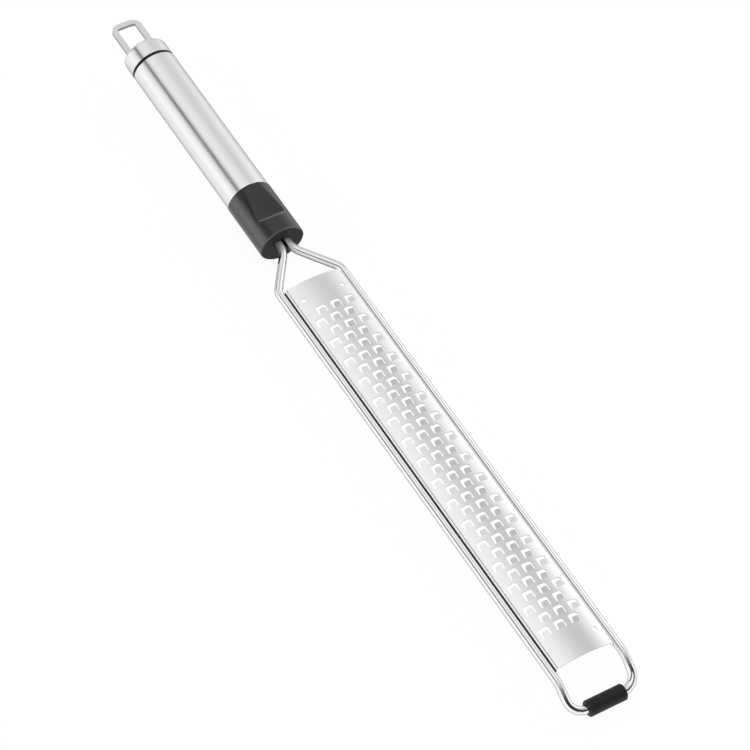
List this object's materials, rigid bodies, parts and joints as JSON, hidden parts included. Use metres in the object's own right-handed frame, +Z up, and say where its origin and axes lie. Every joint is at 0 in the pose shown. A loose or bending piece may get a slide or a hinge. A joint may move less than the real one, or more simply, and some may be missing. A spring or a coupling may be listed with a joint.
{
  "type": "rasp zester",
  "caption": "Hand-held rasp zester: a long etched blade of raised teeth held in a bent wire frame, with an oval handle, a hanging loop and a rubber foot.",
  "frame": {"origin": "on the table under the middle of the tool's bounding box, where z = 0 is the surface that the handle and the foot sleeve rest on", "axes": "+X along the tool from the hanging loop to the foot, +Z up, the side of the cutting teeth, +Y to the left of a person who looks along +X"},
  "size_m": [0.4156, 0.0358, 0.0199],
  "materials": {
    "satin_steel": "satin, fine grain along the tool",
    "wire_steel": "polished",
    "blade_steel": "bright satin sheet, etched edges",
    "collar_plastic": "dark grey, fine matte grain",
    "ring_plastic": "black, smooth",
    "inner_plastic": "black, as moulded",
    "sleeve_rubber": "matte"
  },
  "bodies": {
    "root": {"hanging_loop": "satin_steel", "end_cap": "satin_steel", "cap_ring": "ring_plastic", "end_plug": "inner_plastic", "handle_tube": "satin_steel", "front_collar": "collar_plastic", "tang_clamp_upper": "inner_plastic", "tang_clamp_lower": "inner_plastic", "wire_frame": "wire_steel", "blade": "blade_steel", "foot_sleeve": "sleeve_rubber"}
  },
  "joints": []
}
